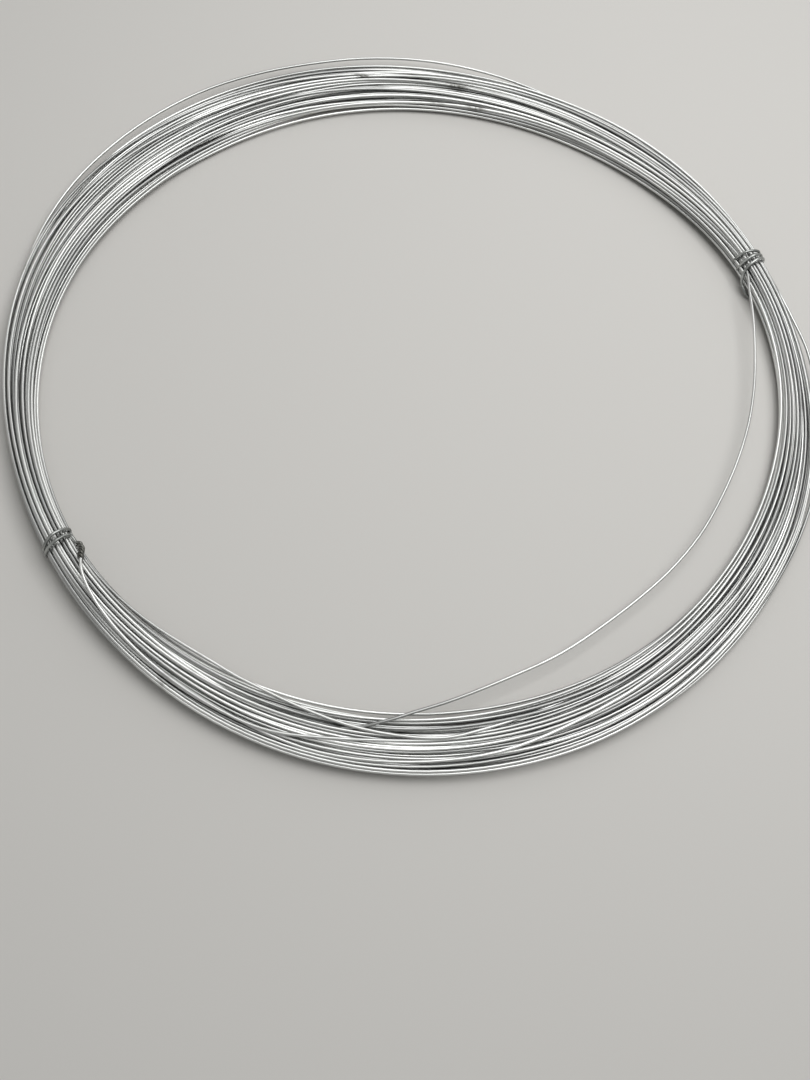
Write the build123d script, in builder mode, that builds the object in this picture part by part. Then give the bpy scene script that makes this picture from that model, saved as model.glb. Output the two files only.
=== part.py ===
# A hand-tied coil of galvanized steel wire, lying flat on the floor.
# Millimetres. +Z is the coil's own axis, pointing up; the origin is the middle
# of the ring at floor level, and azimuth 0 is along +X, counting towards +Y.
import os
from math import cos, hypot, pi, radians, sin

from build123d import *

os.makedirs("parts", exist_ok=True)

# Driving dimensions
coil_radius = 300.0  # outside of the ring, before a run's own stand-off
wire_radius = 1.1  # 2.2 mm wire
crests = 20  # turns that show round the outside of the bundle
groove = 0.9  # depth of the valley between two turns that touch
loose_groove = 2 * wire_radius  # between loose turns the valley is a whole wire deep
sides = 8  # flats round a single wire
bends = 20  # short straights in one wrap of a tie
tied_width = 19.0  # the bundle is round where a tie holds it
fan_for_loose = 16.0  # past this much fanning out, the turns lie in loose layers
loose_share = 0.4  # air that the loose layers add to the bundle
tie_wire_radius = 1.1  # the ties are of the same gauge
tie_slack = 0.4  # air between a wrap and the bundle
tie_pitch = 3.3  # spacing of neighbouring wraps
right_azimuth = 34.5
left_azimuth = 223.0
right_stand = -4.0  # the ring is drawn in at its ties
left_stand = -2.8
tie_clearance = 2 * tie_wire_radius + tie_slack  # a tie lifts the bundle this far
lift_reach = 26.0  # degrees either side of a tie before the turns lie on the floor
floor_gap = 0.35  # air left under the lowest crests

# The bundle between its ties: azimuth, how far it fans out past its tied width, and
# how far its outside stands off the coil radius
upper_run = [
    (right_azimuth, 0.0, right_stand), (37.5, 0.8, -3.8), (44.0, 5.8, -2.6), (52.0, 14.0, 0.4), (61.0, 18.8, 1.8),
    (75.0, 22.0, 0.6), (95.0, 25.2, -2.0), (118.0, 28.5, -1.2), (141.0, 32.0, 3.0), (157.0, 28.0, 4.8),
    (170.0, 20.0, 4.0), (184.0, 11.3, 0.8), (197.0, 5.3, -1.7), (208.0, 1.6, -3.2), (217.0, 0.3, -3.2),
    (left_azimuth, 0.0, left_stand),
]
lower_run = [
    (left_azimuth, 0.0, left_stand), (226.5, 0.8, -2.1), (235.0, 5.5, -1.0), (244.0, 10.5, 0.5), (254.0, 16.0, 2.0),
    (268.0, 20.3, 2.2), (288.0, 22.0, -0.5), (310.0, 22.3, -1.3), (332.0, 18.2, -2.6), (348.0, 17.2, 0.6),
    (360.0, 12.8, 0.8), (369.0, 6.6, -1.2), (378.0, 1.9, -3.0), (387.0, 0.3, -3.8),
    (right_azimuth + 360.0, 0.0, right_stand),
]

# The inner turn that has sprung loose: azimuth, inset from the coil radius, height
loose_inner = [
    (44.0, 12.0, 13.0), (34.0, 19.9, 14.8), (24.0, 34.7, 15.4), (8.0, 50.4, 14.2), (-10.0, 61.4, 12.8),
    (-37.0, 69.2, 11.8), (-58.0, 63.0, 11.8), (-75.0, 47.4, 12.4), (-83.0, 34.0, 12.2), (-92.0, 24.0, 7.6),
]

# The outer turn that stands a little off the ring at the back left
loose_outer = [
    (192.0, 4.5, 7.5), (176.0, -3.3, 8.0), (159.0, -7.7, 8.5), (138.0, -7.5, 8.6), (118.0, -4.0, 8.6),
    (101.0, -3.0, 8.6), (84.0, 4.5, 7.4),
]


def bundle_width(fan):
    return tied_width + fan


def looseness(fan):
    return min(max(fan / fan_for_loose, 0.0), 1.0)


def bundle_height(fan):
    """The turns pile up round at a tie and lie in three or four loose layers between."""
    return min(tied_width, tied_width ** 2 * (1.0 + loose_share * looseness(fan)) / bundle_width(fan))


def lift(azimuth):
    """Height of the underside: a tie's own wraps keep the bundle off the floor."""
    away = min(abs((azimuth - tie + 180) % 360 - 180) for tie in (right_azimuth, left_azimuth))
    near = max(0.0, 1.0 - away / lift_reach)
    return floor_gap + (tie_clearance - floor_gap) * near * near * (3 - 2 * near)


def outline(azimuth, fan, stand):
    """Section of the bundle at one azimuth: a crest for each turn that shows, and valleys."""
    a, b = bundle_width(fan) / 2, bundle_height(fan) / 2
    depth = groove + (loose_groove - groove) * looseness(fan)
    steps = 720
    walk = [(a * cos(2 * pi * k / steps), b * sin(2 * pi * k / steps)) for k in range(steps + 1)]
    run = [0.0]
    for p, q in zip(walk, walk[1:]):
        run.append(run[-1] + hypot(q[0] - p[0], q[1] - p[1]))
    points = []
    for i in range(2 * crests):
        goal = run[-1] * i / (2 * crests)
        k = 0
        while run[k + 1] < goal:
            k += 1
        t = 2 * pi * (k + (goal - run[k]) / (run[k + 1] - run[k])) / steps
        inset = depth if i % 2 else 0.0
        points.append((
            coil_radius + stand - a + (a - inset) * cos(t),
            lift(azimuth) + b + (b - inset) * sin(t),
        ))
    return points


def across(azimuth):
    """Upright plane through the axis: x outwards, y up."""
    c, s = cos(radians(azimuth)), sin(radians(azimuth))
    return Plane(origin=(0, 0, 0), x_dir=(c, s, 0), z_dir=(s, -c, 0))


def at(azimuth, inset, height):
    radius = coil_radius - inset
    return (radius * cos(radians(azimuth)), radius * sin(radians(azimuth)), height)


def wrap_point(azimuth, stand, turn, along, spread=0.0):
    """A point on a tie: turns round the bundle from its outer side, over the top, inwards, under."""
    reach = tied_width / 2 + tie_slack + tie_wire_radius + spread
    r = coil_radius + stand - tied_width / 2 + reach * cos(2 * pi * turn)
    z = tied_width / 2 + tie_clearance + reach * sin(2 * pi * turn)
    c, s = cos(radians(azimuth)), sin(radians(azimuth))
    return (r * c - along * s, r * s + along * c, z)


# The coil: one ring of turns round the axis, with its bore, and the two loose
# turns, which are the same wire
with BuildPart() as wire_coil:
    for stations in (upper_run, lower_run):
        for azimuth, fan, stand in stations:
            with BuildSketch(across(azimuth)):
                with BuildLine():
                    Polyline(*outline(azimuth, fan, stand), close=True)
                make_face()
        loft()
    for strand in (loose_inner, loose_outer):
        with BuildLine() as strand_line:
            Spline(*[at(*point) for point in strand])
        with BuildSketch(Plane(strand_line.line ^ 0)):
            RegularPolygon(wire_radius, sides)
        sweep(path=strand_line.line)

wire_coil.part.label = "wire_coil"
export_step(wire_coil.part, "parts/wire_coil.step")

# Right tie: three wraps, the last one falling slack on the inner side before it tucks under
with BuildPart() as right_tie:
    wraps = []
    for k in range(round(2.8 * bends) + 1):
        turn = -0.1 + k / bends
        slack = min(max((turn - 2.25) / 0.45, 0.0), 1.0)
        along = 4.1 - tie_pitch * turn - 7.0 * slack * slack * (3 - 2 * slack)
        wraps.append(wrap_point(right_azimuth, right_stand, turn, along, 4.0 * sin(pi * slack) ** 2))
    with BuildLine() as right_line:
        Polyline(*wraps)
    with BuildSketch(Plane(right_line.line ^ 0)):
        RegularPolygon(tie_wire_radius, sides)
    sweep(path=right_line.line, transition=Transition.RIGHT)

right_tie.part.label = "right_tie"
export_step(right_tie.part, "parts/right_tie.step")

# Left tie: two wraps and a short end laid beside them on the outer side
with BuildPart() as left_tie:
    with BuildLine() as left_line:
        Polyline(*[
            wrap_point(left_azimuth, left_stand, -0.15 + k / bends, tie_pitch * (k / bends - 0.95))
            for k in range(round(2.2 * bends) + 1)
        ])
    with BuildSketch(Plane(left_line.line ^ 0)):
        RegularPolygon(tie_wire_radius, sides)
    sweep(path=left_line.line, transition=Transition.RIGHT)

left_tie.part.label = "left_tie"
export_step(left_tie.part, "parts/left_tie.step")
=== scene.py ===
"""Dresses a hand-tied coil of galvanized steel wire that lies flat on the floor."""
from math import radians

import bpy
import numpy as np
from mathutils import Matrix, Vector


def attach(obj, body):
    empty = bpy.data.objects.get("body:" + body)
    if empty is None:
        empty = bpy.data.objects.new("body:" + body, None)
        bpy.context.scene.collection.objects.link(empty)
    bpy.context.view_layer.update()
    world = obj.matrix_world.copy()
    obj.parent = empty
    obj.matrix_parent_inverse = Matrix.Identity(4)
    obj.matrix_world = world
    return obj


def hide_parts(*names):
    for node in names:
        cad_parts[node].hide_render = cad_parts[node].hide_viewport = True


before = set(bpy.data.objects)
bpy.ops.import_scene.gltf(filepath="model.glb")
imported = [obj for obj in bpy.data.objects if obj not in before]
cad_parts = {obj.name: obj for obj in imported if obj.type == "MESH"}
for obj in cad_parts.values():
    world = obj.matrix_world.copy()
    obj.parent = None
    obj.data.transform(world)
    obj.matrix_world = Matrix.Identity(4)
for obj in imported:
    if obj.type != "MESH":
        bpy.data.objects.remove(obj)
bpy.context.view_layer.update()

bl_info = {
    "name": "Wire coil",
    "version": (1, 0, 0),
    "blender": (4, 5, 0),
    "location": "3D View > Sidebar > Wire coil",
    "description": "Winds, ties and lights a coil of galvanized wire",
    "category": "Object",
}

# Azimuths count from +X towards +Y, in degrees. Lengths are millimetres until they
# reach Blender. A turn starts at the left tie, runs round the front to the right tie
# and back round the far side.
MM_IN_A_METRE = 1000
RIGHT_TIE = 34.5
LEFT_TIE = 223.0
COIL_RADIUS = 300.0
TIED_WIDTH = 19.0
TIE_INSIDE = 9.3  # radius inside a tie's wraps
STEP = 2.25  # degrees between the points of the wire
PER_TURN = int(360 / STEP)
FRONT_SPAN = 171.0  # degrees from tie to tie round the front, in whole steps

# The bundle's height and its place over the floor
FAN_FOR_LOOSE = 16.0  # past this much fanning out, the turns lie in loose layers
LOOSE_SHARE = 0.4  # share by which loose layers take up more room than tight ones
LIFT_REACH = 26.0  # degrees either side of a tie before the turns lie on the floor
FLOOR_GAP = 0.35  # the bundle's underside over the floor, before its turns sink
TIE_LIFT = 2.25  # how much higher that is at a tie, on the tie's own wraps

# The bundle: azimuth, how far it fans out past its tied width, how far its outside
# stands off the coil radius
BUNDLE = (
    (34.5, 0.0, -4.0), (37.5, 0.8, -3.8), (44.0, 5.8, -2.6), (52.0, 14.0, 0.4), (61.0, 18.8, 1.8),
    (75.0, 22.0, 0.6), (95.0, 25.2, -2.0), (118.0, 28.5, -1.2), (141.0, 32.0, 3.0), (157.0, 28.0, 4.8),
    (170.0, 20.0, 4.0), (184.0, 11.3, 0.8), (197.0, 5.3, -1.7), (208.0, 1.6, -3.2), (217.0, 0.3, -3.2),
    (223.0, 0.0, -2.8), (226.5, 0.8, -2.1), (235.0, 5.5, -1.0), (244.0, 10.5, 0.5), (254.0, 16.0, 2.0),
    (268.0, 20.8, 2.2), (288.0, 24.2, -0.5), (310.0, 22.8, -1.3), (332.0, 18.2, -2.6), (348.0, 17.2, 0.6),
    (360.0, 12.8, 0.8), (369.0, 6.6, -1.2), (378.0, 1.9, -3.0), (387.0, 0.3, -3.8), (394.5, 0.0, -4.0),
)

# Turns that leave the bundle: the (azimuth, radius, height) that each passes through
SPRUNG_INWARDS = (
    (256.0, 281.0, 7.0), (262.0, 280.0, 7.6), (267.0, 278.4, 8.8), (270.0, 276.6, 9.8),
    (272.0, 274.4, 10.8), (273.5, 271.8, 12.2), (275.2, 268.7, 13.6), (276.5, 266.5, 14.1),
    (278.8, 262.0, 14.1), (280.3, 259.3, 13.6), (282.7, 255.9, 13.0), (284.7, 253.0, 12.6),
    (292.9, 243.3, 12.2), (303.6, 236.3, 11.8), (313.8, 231.4, 11.6), (320.9, 230.6, 11.8),
    (329.4, 232.0, 12.0), (338.6, 234.5, 12.3), (346.7, 236.7, 12.8), (354.7, 240.7, 13.2),
    (362.9, 246.2, 13.8), (370.1, 251.5, 14.4), (377.2, 257.5, 15.0), (384.0, 265.1, 15.8),
    (389.8, 272.8, 16.2), (392.8, 278.6, 15.6), (394.8, 279.4, 15.2), (398.0, 280.0, 15.0),
)
STANDING_OFF_BACK = (
    (84.0, 298.5, 8.6), (91.0, 301.0, 8.6), (100.0, 303.4, 8.6), (110.0, 304.1, 8.6), (119.0, 304.0, 8.6),
    (127.0, 305.6, 8.6), (136.0, 307.6, 8.6), (145.0, 308.2, 8.6), (153.0, 308.1, 8.6), (161.0, 307.8, 8.4),
    (170.0, 305.8, 8.2), (178.0, 303.0, 8.0), (186.0, 300.8, 8.0), (194.0, 298.8, 8.4),
)
STANDING_OFF_RIGHT = (
    (340.0, 297.5, 7.0), (346.0, 299.5, 7.2), (353.0, 301.8, 7.6), (360.0, 303.2, 8.2),
    (368.0, 303.6, 9.0), (375.6, 303.2, 10.0), (379.0, 302.2, 10.6), (382.1, 299.6, 11.2),
    (386.0, 297.2, 12.0),
)
CROSSING_FRONT = (
    (262.0, 296.0, 9.0), (274.0, 294.0, 11.4), (284.0, 291.2, 12.9), (292.3, 287.8, 13.4),
    (296.1, 285.2, 13.5), (300.6, 282.4, 13.6), (305.4, 280.0, 13.6), (309.7, 278.8, 13.4),
    (318.0, 276.6, 13.0), (330.0, 275.0, 12.0),
)
CROSSING_LEFT = (
    (240.0, 272.6, 12.0), (250.0, 268.8, 12.4), (254.8, 269.2, 12.8), (258.0, 269.5, 13.2),
    (262.0, 270.8, 13.4), (265.3, 272.1, 13.4), (268.8, 273.8, 13.4), (272.3, 275.2, 13.2),
    (278.0, 276.6, 12.8), (288.0, 277.6, 11.4),
)
# The wire's first end comes out of its twist and crosses the bundle on top
FIRST_END = (
    (223.0, 268.0, 18.0), (225.6, 274.0, 20.0), (227.4, 281.0, 20.9), (228.7, 284.3, 21.6),
    (230.0, 286.4, 21.6), (231.2, 287.8, 21.4), (232.2, 288.6, 21.0), (233.6, 289.7, 20.3),
    (235.1, 290.4, 19.5), (237.0, 291.2, 18.6), (240.0, 292.0, 17.4), (246.0, 293.0, 15.8),
    (254.0, 293.6, 14.2), (266.0, 293.6, 12.2),
)
FIRST_END_FROM = 227.4
FIRST_END_HELD = 244.0

# Which turn takes each path: the tie at which it is picked, its place there in shares
# of the bundle's radius, and over how many degrees it leaves and comes back
STRAYS = (
    ("right", (-0.86, 0.5), SPRUNG_INWARDS, 10, 3),
    ("right", (0.95, 0.1), STANDING_OFF_BACK, 8, 8),
    ("left", (0.9, -0.35), STANDING_OFF_RIGHT, 8, 6),
    ("left", (0.35, 0.9), CROSSING_FRONT, 14, 12),
    ("left", (-0.95, 0.25), CROSSING_LEFT, 8, 10),
)
FIRST_END_LEAVES = 0.01
FIRST_END_JOINS = 20

# Ties: (turns round the bundle from its outer side over the top, millimetres along the
# bundle, millimetres off it)
RIGHT_WRAPS = (
    (-0.10, 2.6, 0.0), (0.0, 2.0, 0.0), (0.10, 1.8, 0.0), (0.21, 2.2, 0.0), (0.284, 3.4, 0.0),
    (0.36, 4.1, 0.0), (0.44, 4.6, 0.0), (0.52, 5.2, 0.0), (0.62, 4.9, 0.0), (0.75, 2.8, 0.0),
    (0.90, -0.4, 0.0), (1.0, -1.5, 0.0), (1.08, -1.7, 0.0), (1.164, -1.7, 0.0), (1.26, -1.8, 0.0),
    (1.352, -2.1, 0.0), (1.44, -2.3, 0.0), (1.54, -1.9, 0.0), (1.65, -2.2, 0.0), (1.80, -3.6, 0.0),
    (1.93, -4.6, 0.0), (2.05, -5.0, 0.0), (2.19, -5.4, 0.0), (2.276, -6.4, 0.0), (2.356, -7.2, 0.1),
    (2.432, -8.6, 0.5), (2.49, -11.2, 2.0), (2.546, -14.8, 3.4), (2.578, -21.0, 4.0), (2.62, -25.6, 3.8),
)
LEFT_WRAPS = (
    (-0.08, 1.4, 0.0), (0.0, 1.6, 0.0), (0.09, 1.2, 0.0), (0.15, -0.2, 0.0), (0.22, -1.7, 0.0),
    (0.29, -2.5, 0.0), (0.36, -2.9, 0.0), (0.47, -3.8, 0.0), (0.60, -3.4, 0.0), (0.75, 0.2, 0.0),
    (0.86, 3.1, 0.0), (0.94, 4.2, 0.0), (1.0, 4.5, 0.0), (1.12, 4.1, 0.0), (1.21, 3.3, 0.0),
    (1.28, 2.7, 0.0), (1.35, 1.9, 0.0), (1.40, 1.9, 0.1), (1.425, 3.2, 0.3), (1.435, 5.2, 0.3),
    (1.45, 7.4, 0.1),
)
# The left tie's end and the wire's first end are twisted together: (azimuth, radius, height)
TWIST = ((224.9, 276.6, 15.4), (226.0, 277.0, 17.8), (226.6, 279.1, 19.6), (227.4, 281.0, 20.9))
TWIST_TURNS = 2.25
TWIST_STARTS = (0.4, 0.9)  # turns round the twist at which its two wires start, opposite each other

# Smudges of dirt on the far side: (azimuth, radius, height)
SMUDGES = ((91.0, 259.5, 12.0), (94.6, 276.4, 12.0), (98.7, 258.5, 12.0), (111.0, 283.0, 12.0))

# How tightly the turns are laid
PACKING = 1.01  # spacing of the wires at a tie, in wire diameters
ROW_HEIGHT = 0.8660254  # height of a row of wires that rest between those below, in spacings
TURNED_AT_LEFT = -12  # degrees by which the rows are tipped at each tie
TURNED_AT_RIGHT = 14
WAVES = 14  # slow waves in the wire's lay
WAVE_STRENGTH = 0.36
WAVE_RATES = (0.6, 4.2)  # waves in a turn, from the slowest to the quickest
RATE_UP = 0.37  # added to a wave's rate for the way that it goes up and down
START_UP = 1.7  # and the factor on its start there
WANDER_ACROSS = 1.3  # millimetres sideways for a wander of 1, where the bundle is fanned out
WANDER_UP = 0.6
FAN_FOR_WANDER = 20.0  # past this much fanning out, the wire wanders fully

# How the turns settle
PULL = 0.06  # share of the way back to its goal that a point goes in each round
PULL_AT_TIE = 0.5  # added to the pull in the middle of a tie
PULL_REACH = 3.0  # degrees over which that fades
SINK = 0.02  # millimetres that a loose turn sinks in each round
PUSH = 0.4  # share of an overlap by which a wire is pushed away in each round
IRONING = 3  # times that the wire is smoothed after each push
CARRIED = 0.03  # share of the full wander up to which a tie's wraps carry the turns
EDGE_SHARE = 0.35  # share of the gap to the bundle's edge that the goals are moved by
EDGE_BLUR = 2.0  # steps along the wire over which that gap is smoothed
EDGE_EVERY = 10  # rounds from one such move to the next
EDGE_STOPS = 15  # rounds at the end without one
ROUNDS = 200
LAST_ROUNDS = 30  # rounds of pushing clear alone, at the end
SHARP_BEND = 4.5  # degrees a step past which the wire gets a point in between
END_STEP = 0.5  # degrees between the points of the first end

# Sides of the wires' round sections
COIL_SIDES = 10
TIE_SIDES = 12

# Lights, in metres and watts. A softbox has a name, a place, a width and a power
ROOM_LIGHT = "#F5F6F5"
ROOM_LIGHT_STRENGTH = 0.28
BACKGROUND_STRENGTH = 0.8
SOFTBOXES = (
    ("overhead softbox", (0.3, 0.2, 1.3), 1.2, 12.4),
    ("back softbox", (0.2, 1.3, 0.9), 1.2, 3.8),
)
FLOOR_SIZE = 12
FLOOR_FADES = (0.7, 1.7)  # metres from the middle between which the floor runs out

# The photograph's own view: where the camera stands and what is right and up in it
CAMERA_PLACE = (0.0, -0.44023585, 0.69799416)
CAMERA_RIGHT = (0.97602853, 0.19147866, 0.10346123)
CAMERA_UP = (-0.21685348, 0.8960256, 0.3874438)
CAMERA_LENS = 48.52
CAMERA_SENSOR = 36.0


# Small helpers

def colour(hex_code):
    """sRGB hex to linear RGBA."""
    out = []
    for at in (1, 3, 5):
        level = int(hex_code[at:at + 2], 16) / 255
        out.append(level / 12.92 if level <= 0.04045 else ((level + 0.055) / 1.055) ** 2.4)
    return (*out, 1.0)


def add_node(tree, kind, values=None, **options):
    """One node with its options set and its sockets filled or linked."""
    node = tree.nodes.new(kind)
    for name, value in options.items():
        setattr(node, name, value)
    for key, value in (values or {}).items():
        if isinstance(value, bpy.types.NodeSocket):
            tree.links.new(value, node.inputs[key])
        else:
            node.inputs[key].default_value = value
    return node


def start_material(name):
    material = bpy.data.materials.new(name)
    material.use_nodes = True
    tree = material.node_tree
    tree.nodes.clear()
    return material, tree


def to_xyz(azimuth, radius, height):
    """Millimetres round the axis to metres."""
    angle = np.radians(azimuth)
    places = [radius * np.cos(angle), radius * np.sin(angle), np.asarray(height, float)]
    return np.stack(places, -1) / MM_IN_A_METRE


def smooth_through(table, at):
    """Smooth lines through a table's columns after its first."""
    knots, values = table[:, 0], table[:, 1:]
    slope = np.gradient(values, knots, axis=0)
    i = np.clip(np.searchsorted(knots, at) - 1, 0, len(knots) - 2)
    gap = (knots[i + 1] - knots[i])[:, None]
    t = (np.asarray(at) - knots[i])[:, None] / gap
    return ((2 * t ** 3 - 3 * t ** 2 + 1) * values[i] + (t ** 3 - 2 * t ** 2 + t) * gap * slope[i]
            + (3 * t ** 2 - 2 * t ** 3) * values[i + 1] + (t ** 3 - t ** 2) * gap * slope[i + 1])


def between_stations(stations, step):
    """Places a small step apart on a smooth line through stations, and how many stretches
    between stations lie before each."""
    passed = np.arange(0, len(stations) - 0.99, step)
    table = np.column_stack([np.arange(len(stations)), stations])
    return passed, smooth_through(table, passed)


# The bundle

def from_tie(azimuth):
    """Degrees to the nearer tie."""
    away = [abs((azimuth - tie + 180) % 360 - 180) for tie in (RIGHT_TIE, LEFT_TIE)]
    return np.minimum(*away)


def bundle_shape(azimuth):
    """Fan, width and height of the bundle, the radius of its outside and how high its
    underside lies: round at a tie, whose own wraps lift it, and three or four loose
    layers between."""
    table = np.array(BUNDLE)
    around = (np.asarray(azimuth) - RIGHT_TIE) % 360 + RIGHT_TIE
    fan, stand = (np.interp(around, table[:, 0], table[:, k]) for k in (1, 2))
    width = TIED_WIDTH + fan
    loose = np.clip(fan / FAN_FOR_LOOSE, 0, 1)
    height = np.minimum(TIED_WIDTH, TIED_WIDTH ** 2 * (1 + LOOSE_SHARE * loose) / width)
    near = np.clip(1 - from_tie(azimuth) / LIFT_REACH, 0, 1)
    lift = FLOOR_GAP + TIE_LIFT * near * near * (3 - 2 * near)
    return fan, width, height, COIL_RADIUS + stand, lift


def packed_places(count, spacing):
    """Places of round wires packed tight in a round bundle, row by row, to and fro."""
    rows, columns = range(-6, 7), range(-7, 8)
    shifts = np.linspace(0, 1, 9)
    best = None
    for shift_x in shifts:
        for shift_y in shifts:
            spots = [
                ((column + 0.5 * (row % 2) - shift_x) * spacing, (row - shift_y) * spacing * ROW_HEIGHT, row)
                for row in rows for column in columns
            ]
            spots.sort(key=lambda spot: spot[0] ** 2 + spot[1] ** 2)
            reach = np.hypot(*spots[count - 1][:2])
            if best is None or reach < best[0]:
                best = (reach, spots[:count])
    reach, spots = best
    ordered = []
    for i, row in enumerate(sorted({spot[2] for spot in spots}, reverse=True)):
        in_row = (spot for spot in spots if spot[2] == row)
        ordered += sorted(in_row, key=lambda spot: spot[0], reverse=i % 2 == 1)
    return np.array([spot[:2] for spot in ordered]), reach


def turned(places, degrees_round):
    """Places turned round the bundle's middle."""
    cosine, sine = np.cos(np.radians(degrees_round)), np.sin(np.radians(degrees_round))
    return places @ np.array([[cosine, sine], [-sine, cosine]])


def nearest(places, x, y):
    """Which of the places lies nearest to a point."""
    return int(np.argmin(np.hypot(places[:, 0] - x, places[:, 1] - y)))


def slow_waves(count, seed):
    """How the wire wanders sideways and up, point by point."""
    chance = np.random.default_rng(seed)
    point = np.arange(count)
    across, up = np.zeros((2, count))
    for _ in range(WAVES):
        rate, start = chance.uniform(*WAVE_RATES), chance.uniform(0, 2 * np.pi)
        across += WAVE_STRENGTH * chance.normal() * np.sin(2 * np.pi * rate * point * STEP / 360 + start)
        rate, start = rate + RATE_UP, START_UP * start
        up += WAVE_STRENGTH * chance.normal() * np.sin(2 * np.pi * rate * point * STEP / 360 + start)
    return across, up


def lay_turns(turns, wire, seed):
    """Lay one wire through its places at the ties, wandering a little in between.
    Returns azimuth and (radius, height) at every STEP of the wire, and the strays:
    (turn, path, degrees over which it leaves, degrees over which it comes back)."""
    count = turns * PER_TURN - int(round((360 - FRONT_SPAN) / STEP)) + 1
    point = np.arange(count)
    azimuth = LEFT_TIE + STEP * point
    turn = point // PER_TURN
    phase = (azimuth - LEFT_TIE) % 360
    front = phase < FRONT_SPAN
    share = np.where(front, phase / FRONT_SPAN, (phase - FRONT_SPAN) / (360 - FRONT_SPAN))
    share = (share * share * (3 - 2 * share))[:, None]
    places, reach = packed_places(turns, wire * PACKING)
    at_tie = {"left": turned(places, TURNED_AT_LEFT), "right": turned(places, TURNED_AT_RIGHT)}
    later = np.minimum(turn + 1, turns - 1)
    place = np.where(
        front[:, None],
        at_tie["left"][turn] * (1 - share) + at_tie["right"][turn] * share,
        at_tie["right"][turn] * (1 - share) + at_tie["left"][later] * share,
    )
    fan, width, height, outside, lift = bundle_shape(azimuth)
    half_width, half_height = width / 2, height / 2
    place_across = place[:, 0] * (half_width - wire / 2) / reach
    place_up = place[:, 1] * (half_height - wire / 2) / reach
    fanned = np.clip(fan / FAN_FOR_WANDER, 0, 1)
    across, up = slow_waves(count, seed)
    lay = np.stack([
        outside - half_width + place_across + WANDER_ACROSS * fanned * across,
        lift + half_height + place_up + WANDER_UP * fanned * up,
    ], 1)
    strays = [
        (nearest(at_tie[tie], x * reach, y * reach), path, leaves, joins)
        for tie, (x, y), path, leaves, joins in STRAYS
    ]
    return azimuth, lay, strays + [(0, FIRST_END, FIRST_END_LEAVES, FIRST_END_JOINS)]


def stray_paths(azimuth, lay, strays):
    """The lay with each stray turn on its own path, and how firmly each point is held to
    it, from 0 to 1."""
    held = np.zeros(len(azimuth))
    path = lay.copy()
    for turn, stations, leaves, joins in strays:
        table = np.array(stations)
        table[:, 0] += 360 if table[0, 0] < LEFT_TIE else 0
        around = azimuth - 360 * turn
        inside = (around >= table[0, 0]) & (around <= table[-1, 0])
        path[inside] = smooth_through(table, around[inside])
        ramp = np.minimum((around - table[0, 0]) / leaves, (table[-1, 0] - around) / joins)
        held[inside] = np.clip(ramp[inside], 0, 1)
    return path, held * held * (3 - 2 * held)


def hold_to(path, held, lay):
    """The lay with its held points drawn back onto their path."""
    return lay * (1 - held[:, None]) + path * held[:, None]


def iron(lay, times):
    """Smooth along the wire, as its stiffness does."""
    for _ in range(times):
        ironed = lay.copy()
        ironed[1:-1] = 0.25 * lay[:-2] + 0.5 * lay[1:-1] + 0.25 * lay[2:]
        lay = ironed
    return lay


def push_clear(lay, wire, lowest):
    """Push the turns at each azimuth away from each other and up off the floor."""
    count = len(lay)
    # the last turn isn't whole, so spare places far away fill it up
    spare = (-count) % PER_TURN
    out_of_the_way = np.full((spare, 2), 1e6) + 50.0 * np.arange(spare)[:, None]
    by_section = np.arange(count + spare).reshape(-1, PER_TURN)
    itself = np.arange(len(by_section))
    moved = np.vstack([lay, out_of_the_way])
    places = moved[by_section]
    apart = places[:, None] - places[None]
    distance = np.sqrt((apart ** 2).sum(-1)) + 1e-9
    over = np.clip(wire - distance, 0, None)
    over[itself, itself] = 0
    moved[by_section] += PUSH * (apart / distance[..., None] * over[..., None]).sum(1)
    moved = moved[:count]
    moved[:, 1] = np.maximum(moved[:, 1], lowest)
    return moved


def reach_edges(goal, lay, held, edges):
    """Draw the goals out to where the outermost and innermost free turns should lie."""
    outer_edge, inner_edge = edges
    section = np.arange(len(lay)) % PER_TURN
    free = held == 0
    high, low = np.full(PER_TURN, -1e9), np.full(PER_TURN, 1e9)
    np.maximum.at(high, section[free], lay[free, 0])
    np.minimum.at(low, section[free], lay[free, 0])
    blur = np.exp(-(np.arange(-4, 5) / EDGE_BLUR) ** 2)
    outwards, inwards = (
        np.convolve(np.tile(gap, 3), blur / blur.sum(), "same")[PER_TURN:2 * PER_TURN]
        for gap in (outer_edge - high, inner_edge - low)
    )
    across = np.clip((lay[:, 0] - low[section]) / (high - low)[section], 0, 1)
    goal[:, 0] += EDGE_SHARE * (1 - held) * (outwards[section] * across + inwards[section] * (1 - across))


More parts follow.
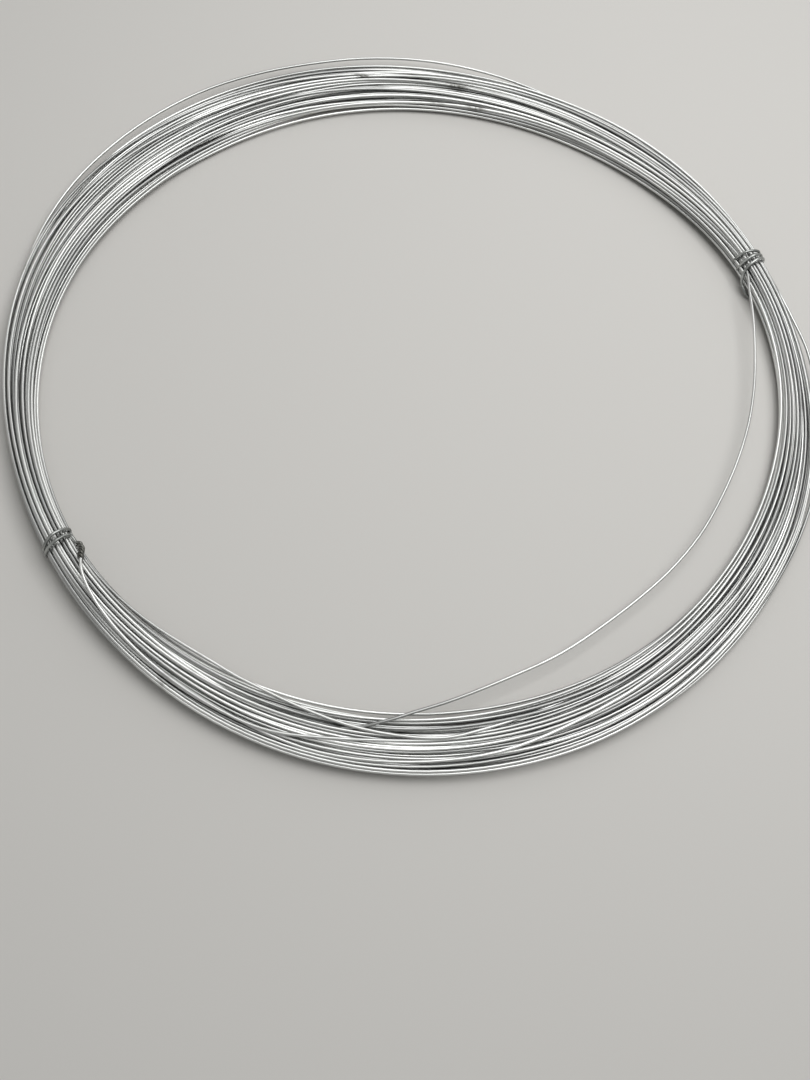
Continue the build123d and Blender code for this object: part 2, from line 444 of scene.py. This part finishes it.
def settle_turns(turns, wire, seed):
    """Lay the wire and let its turns push clear of each other and of the floor, with
    the outermost and innermost free turns on the bundle's edges. Returns azimuth and
    (radius, height) at every STEP of the wire."""
    azimuth, lay, strays = lay_turns(turns, wire, seed)
    path, held = stray_paths(azimuth, lay, strays)
    lay = hold_to(path, held, lay)
    goal = lay.copy()

    fan, width, _, outside, lift = bundle_shape(azimuth)
    fanned = np.clip(fan / FAN_FOR_WANDER, 0, 1)
    lowest = wire / 2 + np.where(fanned < CARRIED, lift, 0)
    section = np.arange(len(lay)) % PER_TURN
    edges = np.zeros((2, PER_TURN))
    edges[0, section], edges[1, section] = outside - wire / 2, outside - width + wire / 2
    pull = (PULL + PULL_AT_TIE * np.exp(-(from_tie(azimuth) / PULL_REACH) ** 2))[:, None]

    rounds = ROUNDS
    for done in range(rounds):
        lay += pull * (goal - lay)
        lay[:, 1] -= SINK * fanned * (1 - held)
        lay = hold_to(path, held, iron(push_clear(lay, wire, lowest), IRONING))
        if done % EDGE_EVERY == EDGE_EVERY - 1 and done < rounds - EDGE_STOPS:
            reach_edges(goal, lay, held, edges)
    for _ in range(LAST_ROUNDS):
        lay = hold_to(path, held, iron(push_clear(lay, wire, lowest), 1))
    return azimuth, lay


def refine(azimuth, lay):
    """Points for the whole wire: closer ones at its first end and where it bends sharply."""
    table = np.array(FIRST_END)
    fine = np.arange(FIRST_END_FROM, FIRST_END_HELD, END_STEP)
    rest = azimuth >= FIRST_END_HELD
    azimuth, lay = np.append(fine, azimuth[rest]), np.vstack([smooth_through(table, fine), lay[rest]])
    way = np.diff(to_xyz(azimuth, lay[:, 0], lay[:, 1]), axis=0)
    way /= np.linalg.norm(way, axis=1)[:, None]
    bend = np.degrees(np.arccos(np.clip((way[1:] * way[:-1]).sum(1), -1, 1)))
    sharp = np.zeros(len(azimuth) - 1, bool)
    sharp[1:] |= bend > SHARP_BEND
    sharp[:-1] |= bend > SHARP_BEND
    between = 0.5 * (azimuth[:-1] + azimuth[1:])[sharp]
    more = smooth_through(np.column_stack([azimuth, lay]), between)
    azimuth, lay = np.append(azimuth, between), np.vstack([lay, more])
    order = np.argsort(azimuth)
    return azimuth[order], lay[order]


# Ties

def wrap_places(azimuth, stations, tie_diameter):
    """Places on a tie, in metres, five to each stretch between its stations."""
    _, places = between_stations(stations, 0.2)
    turn, along, off = places.T
    _, width, height, outside, lift = bundle_shape(azimuth)
    reach = TIE_INSIDE + MM_IN_A_METRE * tie_diameter / 2 + off
    out = outside - width / 2 + reach * np.cos(2 * np.pi * turn)
    up = lift + height / 2 + reach * np.sin(2 * np.pi * turn)
    angle = radians(azimuth)
    x = out * np.cos(angle) - along * np.sin(angle)
    y = out * np.sin(angle) + along * np.cos(angle)
    return np.stack([x, y, up], -1) / MM_IN_A_METRE


def twist_places(stations, turns, offset, start):
    """Places in metres on a wire that winds round a path at an offset in metres, twenty to
    each stretch between the path's stations."""
    passed, places = between_stations(stations, 0.05)
    middle = to_xyz(*places.T)
    way = np.gradient(middle, axis=0)
    side = np.cross(way, (0, 0, 1))
    side /= np.linalg.norm(side, axis=1)[:, None]
    up = np.cross(side, way)
    up /= np.linalg.norm(up, axis=1)[:, None]
    angle = (2 * np.pi * (turns * passed / passed[-1] + start))[:, None]
    return middle + offset * (np.cos(angle) * side + np.sin(angle) * up)


# Drawing wire

def draw_curve(name, points, diameter, sides, rounded):
    """A round wire through points in metres, turned into a mesh. A rounded one is a smooth
    curve that its points draw towards them, any other runs straight from point to point."""
    bpy.ops.object.select_all(action="DESELECT")
    bpy.ops.curve.primitive_nurbs_path_add(radius=0.1, location=(0, 0, 0))
    wire = bpy.context.object
    wire.name = wire.data.name = name
    curve = wire.data
    curve.splines.clear()
    spline = curve.splines.new("NURBS" if rounded else "POLY")
    spline.points.add(len(points) - 1)
    spline.points.foreach_set("co", np.hstack([points, np.ones((len(points), 1))]).ravel())
    if rounded:
        spline.order_u = 4
        spline.use_endpoint_u = True
        curve.resolution_u = 2
    curve.dimensions = "3D"
    curve.twist_mode = "MINIMUM" if rounded else "Z_UP"
    curve.bevel_mode = "ROUND"
    curve.bevel_depth = diameter / 2
    curve.bevel_resolution = sides // 2 - 2
    curve.use_fill_caps = True
    bpy.ops.object.convert(target="MESH")
    wire = bpy.context.object
    wire.name = wire.data.name = name
    return wire


def map_wire(mesh, diameter, sides):
    """The mesh's own UV map: U is metres along the wire, V metres round it."""
    rings = len(mesh.vertices) // sides
    place = np.empty(len(mesh.vertices) * 3)
    mesh.vertices.foreach_get("co", place)
    centre = place.reshape(-1, 3)[:rings * sides].reshape(rings, sides, 3).mean(1)
    run = np.concatenate([[0], np.cumsum(np.linalg.norm(np.diff(centre, axis=0), axis=1))])
    corner = np.empty(len(mesh.loops), int)
    mesh.loops.foreach_get("vertex_index", corner)
    side = corner % sides
    ring = np.minimum(corner // sides, rings - 1)
    starts = np.empty(len(mesh.polygons), int)
    mesh.polygons.foreach_get("loop_start", starts)
    # a face that closes the ring ends at the full way round, not back at nothing
    face = np.repeat(np.arange(len(starts)), np.diff(np.append(starts, len(corner))))
    closing = np.zeros(len(starts), bool)
    np.logical_or.at(closing, face, side == sides - 1)
    side = np.where(closing[face] & (side == 0), sides, side)
    layer = mesh.uv_layers.get("wire") or mesh.uv_layers.new(name="wire")
    uv = np.stack([run[ring], side / sides * np.pi * diameter], 1)
    layer.data.foreach_set("uv", uv.ravel())
    for other in [u for u in mesh.uv_layers if u.name != "wire"]:
        mesh.uv_layers.remove(other)


def draw_wire(name, points, diameter, sides, rounded):
    """One round wire through points in metres, smoothly shaded, with its own UV map."""
    wire = draw_curve(name, points, diameter, sides, rounded)
    map_wire(wire.data, diameter, sides)
    bpy.ops.object.shade_smooth()
    return wire


def draw_tie(name, points, diameter):
    return draw_wire(name, points, diameter, TIE_SIDES, rounded=True)


def finish_piece(piece, material, slot, *nodes):
    """Give a piece its finish, what carries it and the nodes that it replaces. The slot argument is not
    used.
    """
    piece.data.materials.clear()
    piece.data.materials.append(material)
    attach(piece, "root")
    if nodes:
        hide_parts(*nodes)


# Finishes

def rubbed_on_dirt(tree, place):
    """How dirty the wire is, from 0 to 1: faint patches all round and a few smudges."""
    # patches a few centimetres long
    patches = add_node(tree, "ShaderNodeTexNoise", {
        "Vector": place, "Scale": 30.0, "Detail": 4.0, "Roughness": 0.65,
    })
    dirt = add_node(tree, "ShaderNodeMapRange", {
        0: patches.outputs["Fac"], 1: 0.64, 2: 0.78, 3: 0.0, 4: 0.5,
    })
    # smudges about 20 mm long and 6 mm wide, broken up by specks 2 mm wide
    specks = add_node(tree, "ShaderNodeTexNoise", {"Vector": place, "Scale": 450.0, "Detail": 2.0})
    speckled = add_node(tree, "ShaderNodeMapRange", {
        0: specks.outputs["Fac"], 1: 0.4, 2: 0.55, 3: 0.2, 4: 1.0,
    })
    narrow = np.array((0.3, 1.0, 0.3))
    squeezed = add_node(tree, "ShaderNodeVectorMath", {0: place, 1: narrow}, operation="MULTIPLY")
    for spot in SMUDGES:
        away = add_node(tree, "ShaderNodeVectorMath", {
            0: squeezed.outputs[0], 1: narrow * to_xyz(*spot),
        }, operation="DISTANCE")
        smudge = add_node(tree, "ShaderNodeMapRange", {
            0: away.outputs["Value"], 1: 0.001, 2: 0.0035, 3: 0.8, 4: 0.0,
        })
        smudge = add_node(tree, "ShaderNodeMath", {
            0: smudge.outputs[0], 1: speckled.outputs[0],
        }, operation="MULTIPLY")
        dirt = add_node(tree, "ShaderNodeMath", {
            0: dirt.outputs[0], 1: smudge.outputs[0],
        }, operation="MAXIMUM")
    return dirt.outputs[0]


def drawn_galvanized_wire(chosen):
    """Hot-dip galvanized steel wire, wiped and drawn through a die: bright zinc whose tone
    drifts from turn to turn, with fine streaks along the wire and grey smudges of dirt."""
    material, tree = start_material("drawn galvanized wire")
    uv = add_node(tree, "ShaderNodeUVMap", uv_map="wire")
    axes = add_node(tree, "ShaderNodeSeparateXYZ", {0: uv.outputs["UV"]})
    along, round_it = axes.outputs[0], axes.outputs[1]
    # streaks 0.5 mm wide and 40 mm long
    streak_at = add_node(tree, "ShaderNodeCombineXYZ", {
        0: add_node(tree, "ShaderNodeMath", {0: along, 1: 25.0}, operation="MULTIPLY").outputs[0],
        1: add_node(tree, "ShaderNodeMath", {0: round_it, 1: 2000.0}, operation="MULTIPLY").outputs[0],
    })
    streaks = add_node(tree, "ShaderNodeTexNoise", {
        "Vector": streak_at.outputs[0], "Scale": 1.0, "Detail": 3.0, "Roughness": 0.6,
    })
    # the coat's tone drifts over 0.3 m of wire, so neighbouring turns differ
    drift = add_node(tree, "ShaderNodeTexNoise", {
        "W": add_node(tree, "ShaderNodeMath", {0: along, 1: 3.0}, operation="MULTIPLY").outputs[0],
        "Scale": 1.0, "Detail": 2.0,
    }, noise_dimensions="1D")
    tone = add_node(tree, "ShaderNodeValToRGB", {0: drift.outputs["Fac"]})
    dull, bright = tone.color_ramp.elements
    dull.position, dull.color = 0.32, colour(chosen.zinc_dull)
    bright.position, bright.color = 0.68, colour(chosen.zinc_bright)
    streak_shade = add_node(tree, "ShaderNodeMapRange", {
        0: streaks.outputs["Fac"], 1: 0.3, 2: 0.7, 3: 0.9, 4: 1.05,
    })
    zinc = add_node(tree, "ShaderNodeVectorMath", {
        0: tone.outputs["Color"], "Scale": streak_shade.outputs[0],
    }, operation="SCALE")
    place = add_node(tree, "ShaderNodeTexCoord")
    dirt = rubbed_on_dirt(tree, place.outputs["Object"])
    coat = add_node(tree, "ShaderNodeMix", {
        "Factor": dirt, "A": zinc.outputs[0], "B": colour(chosen.dirt),
    }, data_type="RGBA")
    rough = add_node(tree, "ShaderNodeMapRange", {
        0: streaks.outputs["Fac"], 1: 0.3, 2: 0.7, 3: 0.34, 4: 0.26,
    })
    # dirt takes the shine off
    rough_all = add_node(tree, "ShaderNodeMath", {
        0: dirt, 1: 0.3, 2: rough.outputs[0],
    }, operation="MULTIPLY_ADD")
    bump = add_node(tree, "ShaderNodeBump", {
        "Height": streaks.outputs["Fac"], "Strength": 0.06, "Distance": 0.00005,
    })
    shader = add_node(tree, "ShaderNodeBsdfPrincipled", {
        "Base Color": coat.outputs["Result"], "Metallic": 1.0, "Roughness": rough_all.outputs[0],
        "Normal": bump.outputs["Normal"],
    })
    add_node(tree, "ShaderNodeOutputMaterial", {"Surface": shader.outputs[0]})
    return material


def weathered_tie_wire(chosen):
    """Soft wire that has stood outdoors: duller and greyer than the coil, with painted shade darkening it
    round the twist."""
    material, tree = start_material("weathered tie wire")
    place = add_node(tree, "ShaderNodeTexCoord")
    # blotches about 8 mm across
    blotch = add_node(tree, "ShaderNodeTexNoise", {
        "Vector": place.outputs["Object"], "Scale": 120.0, "Detail": 3.0, "Roughness": 0.5,
    })
    tone = add_node(tree, "ShaderNodeValToRGB", {0: blotch.outputs["Fac"]})
    dark, light = tone.color_ramp.elements
    dark.position, dark.color = 0.35, colour(chosen.tie_dark)
    light.position, light.color = 0.65, colour(chosen.tie_light)
    # painted shade in the twist: darker up to 12 mm from its middle
    away = add_node(tree, "ShaderNodeVectorMath", {
        0: place.outputs["Object"], 1: to_xyz(*np.mean(TWIST, axis=0)),
    }, operation="DISTANCE")
    painted_shade = add_node(tree, "ShaderNodeMapRange", {
        0: away.outputs["Value"], 1: 0.006, 2: 0.012, 3: 0.7, 4: 0.0,
    })
    # the twist's painted shade is mixed in here, in the dirt colour
    steel = add_node(tree, "ShaderNodeMix", {
        "Factor": painted_shade.outputs[0], "A": tone.outputs["Color"], "B": colour(chosen.dirt),
    }, data_type="RGBA")
    rough = add_node(tree, "ShaderNodeMapRange", {
        0: blotch.outputs["Fac"], 1: 0.3, 2: 0.7, 3: 0.32, 4: 0.22,
    })
    bump = add_node(tree, "ShaderNodeBump", {
        "Height": blotch.outputs["Fac"], "Strength": 0.1, "Distance": 0.0001,
    })
    shader = add_node(tree, "ShaderNodeBsdfPrincipled", {
        "Base Color": steel.outputs["Result"], "Metallic": 1.0, "Roughness": rough.outputs[0],
        "Normal": bump.outputs["Normal"],
    })
    add_node(tree, "ShaderNodeOutputMaterial", {"Surface": shader.outputs[0]})
    return material


def seen_directly(tree):
    """1 for rays from the camera, a glossy surface or a clear one, and 0 for any other."""
    ray = add_node(tree, "ShaderNodeLightPath")
    seen = add_node(tree, "ShaderNodeMath", {
        0: ray.outputs["Is Camera Ray"], 1: ray.outputs["Is Glossy Ray"],
    }, operation="MAXIMUM")
    seen = add_node(tree, "ShaderNodeMath", {
        0: seen.outputs[0], 1: ray.outputs["Is Transmission Ray"],
    }, operation="MAXIMUM")
    return seen.outputs[0]


def matt_pale_floor(chosen):
    """A pale matt surface that takes the coil's shadow and runs out into the background."""
    material, tree = start_material("matt pale floor")
    matt = add_node(tree, "ShaderNodeBsdfPrincipled", {
        "Base Color": colour(chosen.floor), "Roughness": 0.9, "Specular IOR Level": 0.2,
    })
    place = add_node(tree, "ShaderNodeTexCoord")
    away = add_node(tree, "ShaderNodeVectorMath", {0: place.outputs["Object"]}, operation="LENGTH")
    far = add_node(tree, "ShaderNodeMapRange", {
        0: away.outputs["Value"], 1: FLOOR_FADES[0], 2: FLOOR_FADES[1], 3: 0.0, 4: 1.0,
    }, interpolation_type="SMOOTHSTEP")
    share = add_node(tree, "ShaderNodeMath", {
        0: far.outputs[0], 1: seen_directly(tree),
    }, operation="MULTIPLY")
    backdrop = add_node(tree, "ShaderNodeEmission", {
        "Color": colour(chosen.background), "Strength": BACKGROUND_STRENGTH,
    })
    mix = add_node(tree, "ShaderNodeMixShader", {
        0: share.outputs[0], 1: matt.outputs[0], 2: backdrop.outputs[0],
    })
    add_node(tree, "ShaderNodeOutputMaterial", {"Surface": mix.outputs[0]})
    return material


# Sizes and colours

class WireCoilSettings(bpy.types.PropertyGroup):
    turns: bpy.props.IntProperty(name="Turns", description="Turns of wire in the coil", default=52, min=12)
    wire_diameter: bpy.props.FloatProperty(
        name="Wire", description="Diameter of the galvanized wire", default=0.0022, unit="LENGTH")
    tie_diameter: bpy.props.FloatProperty(
        name="Tie wire", description="Diameter of the binding wire", default=0.0022, unit="LENGTH")
    seed: bpy.props.IntProperty(name="Lay", description="Seed for how the turns wander", default=7)
    zinc_bright: bpy.props.StringProperty(
        name="Bright zinc", description="Lightest tone of the coil, sRGB hex", default="#DEDFDD")
    zinc_dull: bpy.props.StringProperty(
        name="Dull zinc", description="Darkest tone of the coil, sRGB hex", default="#939493")
    # The dirt colour is also used for the painted shade in the tie's twist
    dirt: bpy.props.StringProperty(
        name="Dirt", description="Smudges and the grime in the twist, sRGB hex", default="#45433D")
    tie_light: bpy.props.StringProperty(
        name="Tie wire, rubbed", description="Lightest tone of the ties, sRGB hex", default="#AEB0AE")
    tie_dark: bpy.props.StringProperty(
        name="Tie wire, weathered", description="Darkest tone of the ties, sRGB hex", default="#6E706E")
    floor: bpy.props.StringProperty(
        name="Floor", description="The floor under the coil, sRGB hex", default="#D8D6D2")
    background: bpy.props.StringProperty(
        name="Background", description="What the floor runs out into, sRGB hex", default="#E6E6E4")


# Operators

class WIRECOIL_OT_wind_turns(bpy.types.Operator):
    """Wind the galvanized wire turn by turn, with its sprung and crossing turns"""
    bl_idname = "wirecoil.wind_turns"
    bl_label = "Wind the turns"

    def execute(self, context):
        chosen = context.scene.wire_coil
        azimuth, lay = refine(*settle_turns(chosen.turns, chosen.wire_diameter * MM_IN_A_METRE, chosen.seed))
        places = to_xyz(azimuth, lay[:, 0], lay[:, 1])
        turns = draw_wire("wound_turns", places, chosen.wire_diameter, COIL_SIDES, rounded=False)
        finish_piece(turns, drawn_galvanized_wire(chosen), "galvanized_wire", "wire_coil")
        return {"FINISHED"}


class WIRECOIL_OT_bind_right(bpy.types.Operator):
    """Bind the bundle at the right with three wraps, the last one slack"""
    bl_idname = "wirecoil.bind_right"
    bl_label = "Bind the right side"

    def execute(self, context):
        chosen = context.scene.wire_coil
        wound = wrap_places(RIGHT_TIE, RIGHT_WRAPS, chosen.tie_diameter)
        wraps = draw_tie("right_wraps", wound, chosen.tie_diameter)
        finish_piece(wraps, weathered_tie_wire(chosen), "tie_wire", "right_tie")
        return {"FINISHED"}


class WIRECOIL_OT_bind_left(bpy.types.Operator):
    """Bind the bundle at the left with two wraps, their end twisted with the coil's first end"""
    bl_idname = "wirecoil.bind_left"
    bl_label = "Bind the left side"

    def execute(self, context):
        chosen = context.scene.wire_coil
        tie_end, coil_end = (
            twist_places(TWIST, TWIST_TURNS, chosen.tie_diameter / 2, start) for start in TWIST_STARTS
        )
        wound = wrap_places(LEFT_TIE, LEFT_WRAPS, chosen.tie_diameter)
        wraps = draw_tie("left_wraps", np.vstack([wound, tie_end]), chosen.tie_diameter)
        finish_piece(wraps, weathered_tie_wire(chosen), "tie_wire", "left_tie")
        other = draw_tie("twisted_end", coil_end, chosen.tie_diameter)
        finish_piece(other, weathered_tie_wire(chosen), "tie_wire")
        return {"FINISHED"}


class WIRECOIL_OT_stage(bpy.types.Operator):
    """Set the pale floor, the soft light and the camera"""
    bl_idname = "wirecoil.stage"
    bl_label = "Set the stage"

    def execute(self, context):
        chosen = context.scene.wire_coil
        self.lay_floor(chosen)
        self.fill_room(context.scene, chosen)
        self.hang_softboxes()
        self.place_camera(context.scene)
        context.scene.view_settings.view_transform = "Standard"
        return {"FINISHED"}

    def lay_floor(self, chosen):
        """A wide floor under the coil, which isn't part of it."""
        bpy.ops.object.select_all(action="DESELECT")
        bpy.ops.mesh.primitive_plane_add(size=FLOOR_SIZE, location=(0, 0, 0))
        floor = bpy.context.object
        floor.name = "floor"
        floor.data.materials.append(matt_pale_floor(chosen))

    def fill_room(self, scene, chosen):
        """Dim light from all round, with the pale background where it is seen."""
        world = bpy.data.worlds.new("studio")
        scene.world = world
        world.use_nodes = True
        tree = world.node_tree
        tree.nodes.clear()
        dim = add_node(tree, "ShaderNodeBackground", {
            "Color": colour(ROOM_LIGHT), "Strength": ROOM_LIGHT_STRENGTH,
        })
        pale = add_node(tree, "ShaderNodeBackground", {
            "Color": colour(chosen.background), "Strength": BACKGROUND_STRENGTH,
        })
        mix = add_node(tree, "ShaderNodeMixShader", {
            0: seen_directly(tree), 1: dim.outputs[0], 2: pale.outputs[0],
        })
        add_node(tree, "ShaderNodeOutputWorld", {"Surface": mix.outputs[0]})

    def hang_softboxes(self):
        """Square lamps that face the coil."""
        for name, place, size, power in SOFTBOXES:
            bpy.ops.object.light_add(type="AREA", location=place)
            lamp = bpy.context.object
            lamp.name = name
            lamp.data.shape = "SQUARE"
            lamp.data.size = size
            lamp.data.energy = power
            lamp.visible_camera = False
            lamp.rotation_euler = (-Vector(place)).to_track_quat("-Z", "Y").to_euler()

    def place_camera(self, scene):
        """The photograph's own view of the coil."""
        bpy.ops.object.camera_add()
        camera = bpy.context.object
        camera.name = "photograph"
        right, up = Vector(CAMERA_RIGHT), Vector(CAMERA_UP)
        back = right.cross(up)
        turn = Matrix((right, up, back)).transposed().to_4x4()
        camera.matrix_world = Matrix.Translation(CAMERA_PLACE) @ turn
        camera.data.sensor_fit = "HORIZONTAL"
        camera.data.sensor_width = CAMERA_SENSOR
        camera.data.lens = CAMERA_LENS
        camera.data.clip_start = 0.01
        scene.camera = camera


class WIRECOIL_PT_panel(bpy.types.Panel):
    """The coil's sizes and colours, and a button for each step"""
    bl_label = "Wire coil"
    bl_space_type = "VIEW_3D"
    bl_region_type = "UI"
    bl_category = "Wire coil"

    def draw(self, context):
        chosen = context.scene.wire_coil
        for name in WireCoilSettings.__annotations__:
            self.layout.prop(chosen, name)
        for operator in OPERATORS:
            self.layout.operator(operator.bl_idname)


OPERATORS = (WIRECOIL_OT_wind_turns, WIRECOIL_OT_bind_right, WIRECOIL_OT_bind_left, WIRECOIL_OT_stage)
CLASSES = (WireCoilSettings, *OPERATORS, WIRECOIL_PT_panel)


def register():
    for cls in CLASSES:
        bpy.utils.register_class(cls)
    bpy.types.Scene.wire_coil = bpy.props.PointerProperty(type=WireCoilSettings)


def unregister():
    del bpy.types.Scene.wire_coil
    for cls in reversed(CLASSES):
        bpy.utils.unregister_class(cls)


def main():
    register()
    bpy.ops.wirecoil.wind_turns()
    bpy.ops.wirecoil.bind_right()
    bpy.ops.wirecoil.bind_left()
    bpy.ops.wirecoil.stage()


if __name__ == "__main__":
    main()
